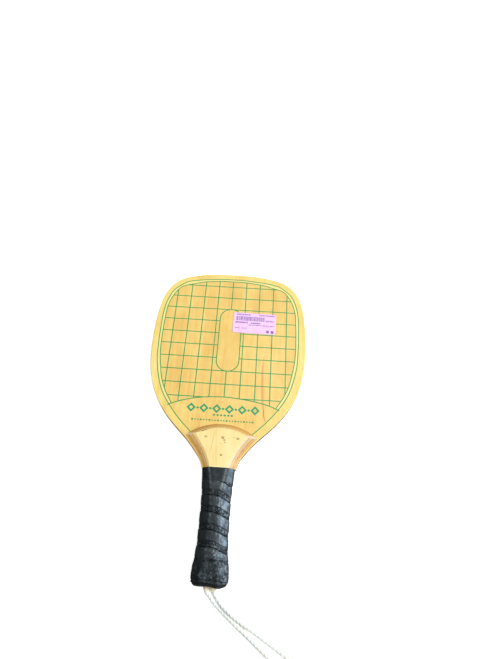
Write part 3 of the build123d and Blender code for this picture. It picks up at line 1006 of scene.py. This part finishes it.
def label_bars(name, bars, material):
    """Printed bars (start u, end u, top v, bottom v) that follow the label's surface."""
    low, high = 0.13, 0.165
    vertices, faces = [], []
    for start, end, top, bottom in bars:
        count = max(2, int((end - start) / 1.2) + 1)
        faces += strip_faces(len(vertices), count)
        for u in np.linspace(start, end, count):
            for v, up in ((top, low), (top, high), (bottom, high), (bottom, low)):
                vertices.append(label_point(u, v, up))
    add_mesh(name, vertices, faces, material, body="paddle", smooth=False)


def stripe_row():
    rng = np.random.RandomState(7)
    stripes, u = [], 4.0
    while u < 42.0:
        width = rng.choice([0.35, 0.55, 0.9])
        stripes.append((u, min(u + width, 42.4), 5.6, 12.3))
        u += width + rng.choice([0.35, 0.5, 0.85])
    return stripes


def dash_row(start, end, top, bottom, lengths, gap=0.55):
    """A row of dashes that takes its lengths in turn."""
    dashes, u = [], start
    while u < end:
        length = lengths[len(dashes) % len(lengths)]
        dashes.append((u, min(u + length, end), top, bottom))
        u += length + gap
    return dashes


make_label()
purple = label_ink("label_print_purple", (126, 84, 156), (150, 106, 178))
label_bars("label_bar_stripes", stripe_row(), purple)
label_bars("label_bar_rows_upper",
           dash_row(4.0, 23.4, 1.9, 3.5, [2.1, 3.0, 1.4])
           + dash_row(34.6, 55.6, 1.9, 3.4, [1.5, 2.4, 3.2])
           + dash_row(44.2, 55.8, 10.4, 12.0, [2.6, 1.6]), purple)
label_bars("label_bar_rows_lower",
           dash_row(3.2, 20.0, 14.0, 16.0, [3.4, 1.8, 2.4])
           + dash_row(24.0, 37.0, 14.4, 16.4, [1.9, 2.8])
           + dash_row(21.5, 55.6, 17.9, 19.0, [3.8, 2.0, 1.2], gap=0.8)
           + dash_row(3.0, 9.4, 23.1, 24.3, [1.4, 1.0])
           + dash_row(12.0, 19.0, 23.1, 24.3, [1.8, 1.0])
           + [(45.4, 49.0, 25.2, 29.2), (51.4, 55.2, 25.4, 29.4)],
           label_ink("label_print_plum", (128, 92, 142), (152, 112, 166)))


# ---------------------------------------------------------------- handle sections

# y, half width, half thickness, half width of the flat, depth of the bevel
GRIP = [
    (-170.2, 18.6, 13.0, 10.4, 5.6), (-176.5, 18.2, 12.85, 9.3, 6.2), (-189, 17.5, 12.7, 6.9, 7.7),
    (-200, 16.9, 12.7, 5.6, 8.6), (-211, 16.7, 12.7, 5.1, 9), (-245, 16.8, 12.8, 4.9, 9.2),
    (-256, 17.4, 13.3, 5.4, 9.4), (-264, 18.1, 13.9, 6.3, 9.4), (-272, 19.3, 14.7, 8.4, 9),
    (-281, 20, 15.3, 10.2, 8.4), (-287, 20, 15.3, 10.2, 8.4), (-288.7, 19.6, 14.9, 10.0, 8.2),
    (-292.3, 18.9, 14.2, 9.6, 8.0)]
CAP = [
    (-257.0, 15.9, 11.9, 4.5, 9.0), (-264.0, 16.5, 12.4, 5.2, 9.0), (-272.0, 17.7, 13.2, 7.2, 8.6),
    (-281.0, 18.7, 14.0, 9.2, 8.0), (-292.3, 18.9, 14.2, 9.2, 8.0)]
AROUND = 288            # points round every handle section
ROUNDING = 2.0          # softness of the section's corners


def section(y, table=GRIP, grow=0.0):
    """The handle's outline at height y, from the middle of the back and towards +X.

    Returns its (x, z) points, their outward normals and the length round.
    """
    rows = np.array(table)[::-1]
    width, thick, flat, bevel = (float(np.interp(y, rows[:, 0], rows[:, k])) for k in range(1, 5))
    width, thick = width + grow, thick + grow
    flat = flat + 0.35 * grow
    shoulder = thick - bevel
    corners = np.array([
        (0, -thick), (flat, -thick), (width, -shoulder), (width, shoulder), (flat, thick),
        (-flat, thick), (-width, shoulder), (-width, -shoulder), (-flat, -thick), (0, -thick)],
        float)
    lengths = lengths_along(corners)
    count = 720
    sharp = resample(corners, lengths, np.linspace(0, lengths[-1], count, endpoint=False))
    # round the corners with a Gaussian average along the outline
    shifts = np.arange(-60, 61)
    weights = np.exp(-0.5 * (shifts * (lengths[-1] / count) / ROUNDING) ** 2)
    weights /= weights.sum()
    soft = np.zeros_like(sharp)
    for shift, weight in zip(shifts, weights):
        soft += weight * np.roll(sharp, -shift, 0)
    soft = np.vstack([soft, soft[:1]])
    lengths = lengths_along(soft)
    points = resample(soft, lengths, np.linspace(0, lengths[-1], AROUND, endpoint=False))
    tangent = np.roll(points, -1, 0) - np.roll(points, 1, 0)
    tangent /= np.linalg.norm(tangent, axis=1)[:, None]
    return points, np.stack([tangent[:, 1], -tangent[:, 0]], 1), lengths[-1]


def ring_vertices(points, y):
    return list(np.stack([points[:, 0], y, HANDLE_Z + points[:, 1]], 1))


def ring_faces(count):
    """Faces joining `count` rings, the last one back to the first."""
    faces = []
    for k in range(count):
        here, there = k * AROUND, (k + 1) % count * AROUND
        for i in range(AROUND):
            i2 = (i + 1) % AROUND
            faces.append((here + i, here + i2, there + i2, there + i))
    return faces


# ---------------------------------------------------------------- grip and tape

INSIDE_MASKS = {"band": 0.0, "seam_shade": 1.0, "wrap": (0.0, 0.0, 0.0)}


def wrap_tube(name, rings, displace, inner_offset, material, replaces):
    """A closed sleeve round the handle.

    rings are heights y, each one number or one for each point. displace(y, around, girth, points)
    gives the sleeve's height off the section, and its masks by name.
    """
    vertices, masks = [], {}
    for ring in rings:
        y = np.full(AROUND, 1.0) * ring
        points, normals, girth = section(float(y.mean()))
        around = (0.5 - np.arange(AROUND) / AROUND) * girth      # 0 at the front, + towards +X
        height, ring_masks = displace(y, around, girth, points)
        vertices += ring_vertices(points + normals * height[:, None], y)
        for key, mask in ring_masks.items():
            masks.setdefault(key, []).extend(mask)
    first, last = rings[0], rings[-1]
    steps = 14
    for k in range(steps + 1):
        y = np.full(AROUND, 1.0) * (last + (first - last) * k / steps)
        points, normals, _ = section(float(y.mean()))
        vertices += ring_vertices(points + normals * inner_offset, y)
        for key, mask in masks.items():
            mask.extend([INSIDE_MASKS[key]] * AROUND)
    obj = add_mesh(name, vertices, ring_faces(len(rings) + steps + 1), material,
                   body="paddle", replaces=replaces)
    for key, mask in masks.items():
        is_vector = key == "wrap"
        attribute = obj.data.attributes.new(key, "FLOAT_VECTOR" if is_vector else "FLOAT", "POINT")
        attribute.data.foreach_set("vector" if is_vector else "value",
                                   np.array(mask, np.float32).ravel())
    sharpen(obj)


# (y of the wrap's seam at the front, number of turns so far)
SEAMS = np.array([(-186.5, 0.0), (-203.1, 1.0), (-221.3, 2.0), (-239.9, 3.0), (-256.9, 4.0),
                  (-275.0, 5.0), (-293.0, 6.0)])[::-1]
FIRST_PITCH = 17.5      # mm per turn above the first seam


def grip_height(y, around, girth, points):
    x, z = points[:, 0], points[:, 1]
    swell = 2.0 * np.exp(-(around / 10.0) ** 2)
    waver = 0.35 * np.sin(around * 0.31 + y * 0.05) + 0.2 * np.sin(around * 0.73 + y * 0.11)
    seam_y = y - swell + waver * 0.6
    turns = np.interp(seam_y, SEAMS[:, 0], SEAMS[:, 1])
    top_y, top_turns = SEAMS[-1]
    turns = np.where(seam_y > top_y, top_turns - (seam_y - top_y) / FIRST_PITCH, turns)
    turns = turns - around / girth
    part = turns - np.floor(turns)      # 0 to 1 across one turn of the wrap

    broad = rough_noise(x, y, z, 0.22, seed=3.0)
    fine = rough_noise(x, y, z, 0.75, seed=11.0, octaves=2)
    low = smoothstep((-232 - y) / 25.0)      # rougher towards the butt
    band = smoothstep(part / 0.055) * (1 - smoothstep((part - 0.60) / 0.07))
    crown = np.sin(np.clip(part / 0.64, 0, 1) * math.pi) ** 0.6
    height = 0.42 * band + 0.10 * crown * band
    height += (1 - band) * (0.02 + (0.10 + 0.16 * low) * fine)
    height += band * (0.05 + 0.11 * low) * fine
    height += (0.10 + 0.12 * low) * broad
    groove_and_shade = np.exp(-(np.minimum(part, 1 - part) / 0.022) ** 2)
    band_edge = np.exp(-((part - 0.655) / 0.016) ** 2)
    height -= 0.55 * groove_and_shade
    height -= 0.16 * band_edge
    # painted shade mask: dark in the grooves and along the band edges
    seam_shade = np.clip(groove_and_shade * 1.1, 0, 1) * 0.85 + 0.45 * band_edge

    # the last turn at the butt lies straight and covers the ends of the helix
    butt = smoothstep((-266.5 - y + 1.5 * np.sin(around * 0.11)) / 2.5)
    lip = np.exp(-((y + 267.6) / 0.7) ** 2)
    fold_y = y + 286.4 + 1.5 * smoothstep((around - 1.0) / 11.0) - 0.35 * np.sin(around * 0.3)
    fold = np.exp(-(fold_y / 0.8) ** 2)
    butt_height = 0.30 + 0.16 * broad + 0.26 * fine - 0.5 * lip - 0.85 * fold
    height = height * (1 - butt) + butt_height * butt
    band = band * (1 - butt) + (0.25 + 0.5 * smoothstep(broad * 2.0)) * butt
    # the lip and the fold at the butt add to the painted shade mask
    seam_shade = seam_shade * (1 - butt) + np.clip(0.8 * lip + 0.9 * fold, 0, 1) * butt
    return height, {"band": np.clip(band, 0, 1), "seam_shade": np.clip(seam_shade, 0, 1),
                    "wrap": np.stack([around, y + around * 0.19, np.zeros(AROUND)], 1)}


TAPE_TOP = -170.2


def tape_height(y, around, girth, points):
    ripple = rough_noise(points[:, 0], y, points[:, 1], 0.14, seed=7.0, octaves=2)
    layer = 0.10 * smoothstep((y + 178.6 + 0.04 * around) / 0.5)      # one more over the upper part
    top = np.exp(-((y - TAPE_TOP) / 0.5) ** 2)
    return 0.52 + layer + 0.05 * ripple - 0.18 * top, {}


def make_wraps():
    girth = 95.0      # nominal length round the handle
    around = (0.5 - np.arange(AROUND) / AROUND) * girth
    tape_edge = -185.4 - 1.3 * np.sin(2 * math.pi * around / girth)
    tape_rings = [TAPE_TOP + (tape_edge - TAPE_TOP) * (k / 51) for k in range(52)]
    wrap_tube("tape_sleeve", tape_rings, tape_height, -1.2, tape_material(),
              ("finishing_tape",))
    # the last turn's end hangs a little lower near the front
    flap = 1.3 * np.exp(-((around - 10.0) / 6.5) ** 2) + 0.25 * np.sin(around * 0.33)
    grip_rings = list(np.linspace(-182.0, -283.0, 298))
    for y in np.linspace(-283.3, -288.8, 19):
        grip_rings.append(y - flap * float(smoothstep((-283.0 - y) / 4.5)))
    wrap_tube("grip_sleeve", grip_rings, grip_height, -1.3, grip_material(),
              ("grip_wrap",))


make_wraps()


# ---------------------------------------------------------------- butt cap

CAP_START, CAP_END = -257.0, -292.3
CAP_LIP = 4.5                # radius of the rounded lip
CAP_WALL = 1.6
CAP_FLOOR = -286.0           # inner side of the cap's end
CORD_HOLE = 6.8              # radius
# radius and y from the end face into the cord hole
HOLE_PROFILE = [(7.45, -292.15), (6.95, -291.65), (CORD_HOLE, -291.3), (CORD_HOLE, -288.5),
                (CORD_HOLE, CAP_FLOOR)]


def make_cap():
    """A thin shell over the handle's end, with a rounded lip and a hole for the cord."""
    rings = []

    def add_ring(y, points):
        rings.append((np.full(AROUND, y), points))

    def cap_section(y, grow=0.0):
        return section(float(y), CAP, grow)[0]

    lip_start = CAP_END + CAP_LIP
    for y in np.linspace(CAP_START, lip_start, 32):
        add_ring(y, cap_section(y))
    for angle in np.linspace(0, math.pi / 2, 15)[1:]:
        y = lip_start - CAP_LIP * math.sin(angle)
        add_ring(y, cap_section(y, grow=-CAP_LIP * (1 - math.cos(angle))))
    rim = rings[-1][1]
    angles = np.arctan2(rim[:, 1], rim[:, 0])
    unit_circle = np.stack([np.cos(angles), np.sin(angles)], 1)
    for k in range(1, 7):
        add_ring(CAP_END, rim + (7.6 * unit_circle - rim) * k / 6)
    for radius, y in HOLE_PROFILE:
        add_ring(y, radius * unit_circle)
    hole = CORD_HOLE * unit_circle
    inside = cap_section(CAP_FLOOR, grow=-CAP_WALL)
    for k in range(1, 4):
        add_ring(CAP_FLOOR, hole + (inside - hole) * k / 3)
    for y in np.linspace(-284.0, CAP_START, 10):
        add_ring(y, cap_section(y, grow=-CAP_WALL))

    vertices = []
    for y, points in rings:
        # the end is slightly uneven and hangs lower at the front, towards +X
        x, z = points[:, 0], points[:, 1]
        at_end = np.clip((-285.0 - y) / 3.0, 0, 1)
        hang = 1.5 * np.exp(-((x - 9.5) / 6.0) ** 2) * np.clip(z / 6.0, 0, 1)
        uneven = rough_noise(x, y, z, 0.35, seed=5.0, octaves=2)
        off_hole = np.clip((np.hypot(x, z) - 7.5) / 3.0, 0, 1)
        scale = 1 + 0.010 * uneven * off_hole
        vertices += ring_vertices(points * scale[:, None],
                                  y - (hang + 0.22 * uneven) * at_end * off_hole)
    sharpen(add_mesh("butt_cap_shell", vertices, ring_faces(len(rings)), cap_plastic,
                     body="paddle", replaces=("butt_cap",)))


make_cap()


# ---------------------------------------------------------------- wrist cord

# Middle line of the cord's two legs: x, y, z, half the spacing of the legs, and how far one
# rides above the middle and the other below. The last six rows are the cord's pivots.
CORD_LINE = np.array([
    (0.0, -283.0, 4.75, 3.2, 0.0), (0.7, -291.5, 4.7, 3.1, 0.0), (5.4, -300.4, 3.6, 2.7, 0.7),
    (14.1, -309.6, -2.6, 2.15, 1.9), (29.2, -321.4, -8.0, 2.3, 2.0), (47.6, -333.3, -8.7, 3.7, 0.9),
    (67.4, -346.5, -9.1, 5.3, 0.0), (98, -368, -9.7, 8.0, 0.0)])
PIVOTS = CORD_LINE[2:, :3]
LOOP_WAY = np.array((0.8228, -0.5683, -0.0135))      # the way the end loop points
LOOP_WAY /= np.linalg.norm(LOOP_WAY)
LOOP_STATIONS = [(26.0, 9.4), (44.0, 11.6), (57.5, 8.3)]      # distance past the pivot, half spacing
LOOP_TIP = PIVOTS[5] + LOOP_WAY * 62.0
CORD_RADIUS = 3.05
CORD_LAY = 13.8         # length of one full twist
CORD_AROUND = 42        # points round the cord
CORD_CENTRE_REST = 3.0  # least height of a leg's centre over the floor
UP = np.array((0.0, 0.0, 1.0))


def cord_path():
    """The centre line of the whole cord: out along one leg, round the loop and back."""
    loop = [(*(PIVOTS[5] + LOOP_WAY * distance), half, 0.0) for distance, half in LOOP_STATIONS]
    line = np.vstack([CORD_LINE, loop])
    centre = line[:, :3]
    ways = np.gradient(centre, axis=0)
    ways /= np.linalg.norm(ways, axis=1)[:, None]
    # seen along the cord from the butt, side +1 is the left leg, which lies over the other
    legs = {}
    for side in (-1, 1):
        legs[side] = []
        for middle, way, half, over in zip(centre, ways, line[:, 3], line[:, 4]):
            right = np.cross(way, UP)
            right /= np.linalg.norm(right)
            point = middle + right * half * (-side) + UP * (over * side)
            point[2] = max(point[2], floor_z(point[1]) + CORD_CENTRE_REST)
            legs[side].append(point)
    return relax(spline(legs[1] + [LOOP_TIP] + legs[-1][::-1], 0.40), 10)


def twist_free_frames(points):
    """Two unit normals at each point that turn no more than the path does."""
    tangents = np.gradient(points, axis=0)
    tangents /= np.linalg.norm(tangents, axis=1)[:, None]
    normals = np.zeros_like(tangents)
    start = np.cross(tangents[0], UP)
    normals[0] = start / np.linalg.norm(start)
    for i in range(1, len(tangents)):
        turned = normals[i - 1] - tangents[i] * (normals[i - 1] @ tangents[i])
        normals[i] = turned / np.linalg.norm(turned)
    return normals, np.cross(tangents, normals)


path = cord_path()
path_length = lengths_along(path)
normal_1, normal_2 = twist_free_frames(path)


def cord_radius(angle, length):
    """Three strands pressed together, each a soft lobe: radius, and how deep each point lies between
    the strands, 0 to 1, which the cord's material paints as shade.
    """
    strand = angle - 2 * math.pi * length / CORD_LAY
    lobe = np.abs(np.cos(1.5 * strand))
    yarn = 0.035 * np.cos(9 * strand + 2 * math.pi * length / 2.1)
    return CORD_RADIUS * (0.83 + 0.17 * lobe ** 0.85) + yarn * lobe, 1.0 - lobe ** 0.6


def cord_mesh(name, material, ranges, start, end, replaces):
    """One stretch of the cord: index ranges along the path, each closed at both ends."""
    vertices, faces, groove_and_shade, uvs = [], [], [], []
    angles = np.linspace(0, 2 * math.pi, CORD_AROUND, endpoint=False)
    for first, last in ranges:
        base = len(vertices)
        for i in range(first, last + 1):
            radius, depth = cord_radius(angles, path_length[i])
            ring = path[i] + (normal_1[i][None, :] * np.cos(angles)[:, None]
                              + normal_2[i][None, :] * np.sin(angles)[:, None]) * radius[:, None]
            ring[:, 2] = np.maximum(ring[:, 2], floor_z(ring[:, 1]) + 0.02)
            vertices += list(ring)
            groove_and_shade += list(depth)
        for k in range(last - first):
            here = base + k * CORD_AROUND
            there = here + CORD_AROUND
            s0, s1 = path_length[first + k] / CORD_LAY, path_length[first + k + 1] / CORD_LAY
            for j in range(CORD_AROUND):
                j2 = (j + 1) % CORD_AROUND
                faces.append((here + j, here + j2, there + j2, there + j))
                u0, u1 = j / CORD_AROUND, (j + 1) / CORD_AROUND
                uvs.append([(u0 - s0, s0), (u1 - s0, s0), (u1 - s1, s1), (u0 - s1, s1)])
        end_base = base + (last - first) * CORD_AROUND
        faces.append(tuple(base + j for j in range(CORD_AROUND)))
        faces.append(tuple(end_base + j for j in range(CORD_AROUND))[::-1])
        uvs += [[(0, 0)] * CORD_AROUND] * 2
    obj = add_mesh(name, vertices, faces, material, replaces=replaces,
                   recalculate=False)
    bm = bmesh.new()
    bm.from_mesh(obj.data)
    layer = bm.loops.layers.uv.new("UVMap")
    bm.faces.ensure_lookup_table()
    for face, face_uvs in zip(bm.faces, uvs):
        for loop, uv in zip(face.loops, face_uvs):
            loop[layer].uv = uv
        if len(face.verts) > 4:      # an end cap
            for edge in face.edges:
                edge.smooth = False
            face.smooth = False
    # the first side face tells whether the faces look outwards
    side = bm.faces[0]
    outwards = side.calc_center_median() - Vector(path[ranges[0][0]] * MM)
    if outwards.dot(side.normal) < 0:
        bmesh.ops.reverse_faces(bm, faces=bm.faces)
    bm.to_mesh(obj.data)
    bm.free()
    attribute = obj.data.attributes.new("groove_and_shade", "FLOAT", "POINT")
    attribute.data.foreach_set("value", np.array(groove_and_shade, np.float32))
    tuple(start * MM)
    tuple(end * MM)
    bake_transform(obj)


midpoints = [(PIVOTS[k] + PIVOTS[k + 1]) / 2 for k in range(5)]
tip_index = int(np.argmin(np.linalg.norm(path - LOOP_TIP, axis=1)))


def cut_index(k, indices):
    """Where a leg passes a plane square to the cord, midway between pivots k and k + 1."""
    point = midpoints[k]
    way = PIVOTS[k + 1] - PIVOTS[k]
    way = way / np.linalg.norm(way)
    return min(indices, key=lambda i: abs((path[i] - point) @ way)
               + 0.02 * np.linalg.norm(path[i] - point))


def bend_reach(span):
    """How far from its pivot a bend spreads along the span."""
    length = np.linalg.norm(span)
    return span / length * min(length - 1.2, 9.5)


def make_cord():
    bodies = ["paddle"] + [f"cord_segment_{k}" for k in range(1, 6)] + ["cord_loop_end"]
    befores = [np.array((0.8, -292.3, 4.7))] + midpoints
    afters = midpoints + [PIVOTS[5] + LOOP_WAY * 16.0]
    first, last = 0, len(path) - 1
    for k, pivot in enumerate(PIVOTS):
        if k < 5:
            out = cut_index(k, range(0, tip_index))
            back = cut_index(k, range(tip_index, len(path)))
            ranges = [(first, out), (back, last)]
            first, last = out, back
        else:
            ranges = [(first, last)]
        cord_mesh(f"wrist_cord_{k + 1}", stained_cord if k == 0 else clean_cord, ranges,
                  pivot - bend_reach(pivot - befores[k]),
                  pivot + bend_reach(afters[k] - pivot), (bodies[k + 1],))


make_cord()


# ---------------------------------------------------------------- floor, in metres

def floor_material():
    mat = Shader("pale_floor")
    cloud = mat.noise(0.01, detail=2.0)
    mat.finish(Base_Color=mat.mix(cloud, (0.93, 0.93, 0.93, 1), (0.95, 0.95, 0.95, 1)),
               Roughness=0.9, Specular_IOR_Level=0.1)
    # clear when seen from below
    back = mat.value("NewGeometry", output="Backfacing")
    clear = mat.node("BsdfTransparent").outputs[0]
    sided = mat.value("MixShader", {0: back, 1: mat.surface.outputs[0], 2: clear})
    # a glow seen by the camera only keeps the floor pale under the soft shadow
    camera_ray = mat.value("LightPath", output="Is Camera Ray")
    glow = mat.value("Emission", {"Strength": camera_ray * (1.0 - back) * 0.62})
    mat.put(mat.output.inputs[0], mat.value("AddShader", {0: sided, 1: glow}))
    return mat.material


def make_floor():
    half, drop = 6.0, 0.0002
    material = floor_material()
    mesh = bpy.data.meshes.new("floor")
    corners = ((-half, -half), (half, -half), (half, half), (-half, half))
    mesh.from_pydata([(x, y, floor_z(y / MM) * MM - drop) for x, y in corners], [],
                     [(0, 1, 2, 3)])
    mesh.materials.append(material)
    obj = bpy.data.objects.new("floor", mesh)
    bpy.context.scene.collection.objects.link(obj)
    # the underside of the paddle is lit as if on a glass table
    obj.visible_diffuse = obj.visible_glossy = obj.visible_shadow = False


make_floor()


# ---------------------------------------------------------------- light and camera, in metres

def add_light(name, kind, location, target, energy, colour, **settings):
    light = bpy.data.lights.new(name, kind)
    light.energy, light.color = energy, colour
    for key, setting in settings.items():
        setattr(light, key, setting)
    obj = bpy.data.objects.new(name, light)
    obj.location = location
    bpy.context.scene.collection.objects.link(obj)
    obj.rotation_mode = "QUATERNION"
    obj.rotation_quaternion = (Vector(target) - obj.location).to_track_quat("-Z", "Y")


add_light("soft_sky_light", "SUN", location=(0.84, 0.44, 1.76), target=(0, 0, 0), energy=1.92,
          colour=(1.0, 0.995, 0.98), angle=math.radians(32))
add_light("left_strip", "AREA", location=(-1.02, 0.0, 1.15), target=(0.0, -0.23, 0.0), energy=4.4,
          colour=(1, 1, 1), shape="RECTANGLE", size=0.16, size_y=0.9)
add_light("side_window", "AREA", location=(1.15, -0.02, 0.36), target=(0.0, -0.22, 0.0),
          energy=14.6, colour=(0.76, 0.86, 1.0), shape="RECTANGLE", size=0.9, size_y=0.55)


def make_world():
    """Light that grows from -X to +X, and a plain grey backdrop for the camera."""
    world = bpy.data.worlds.new("studio")
    world.use_nodes = True
    nodes = Nodes(world.node_tree)
    output = nodes.node("OutputWorld")
    direction = nodes.node("TexCoord").outputs["Generated"]
    x = nodes.value("SeparateXYZ", {0: direction})
    light = nodes.value("Background", {
        "Color": (0.95, 0.975, 1.0, 1), "Strength": x.span(-0.9, 0.9, 0.16, 1.10, smooth=False)})
    backdrop = nodes.value("Background", {"Color": (0.90, 0.91, 0.92, 1)})
    camera_ray = nodes.value("LightPath", output="Is Camera Ray")
    nodes.put(output.inputs[0], nodes.value("MixShader", {0: camera_ray, 1: light, 2: backdrop}))
    bpy.context.scene.world = world


def make_camera():
    data = bpy.data.cameras.new("camera")
    data.sensor_width, data.lens = 36.0, 27.04
    data.clip_start, data.clip_end = 0.01, 50
    camera = bpy.data.objects.new("camera", data)
    bpy.context.scene.collection.objects.link(camera)
    # rotation in the first three columns, place in the last
    camera.matrix_world = Matrix(((0.9982, -0.0596, 0.0102, 0.0293),
                                  (0.0573, 0.8764, -0.4783, -0.30165),
                                  (0.0196, 0.4780, 0.8782, 0.5937),
                                  (0, 0, 0, 1)))
    bpy.context.scene.camera = camera


make_world()
make_camera()
bpy.context.scene.view_settings.view_transform = "Standard"
bpy.context.scene.view_settings.look = "None"
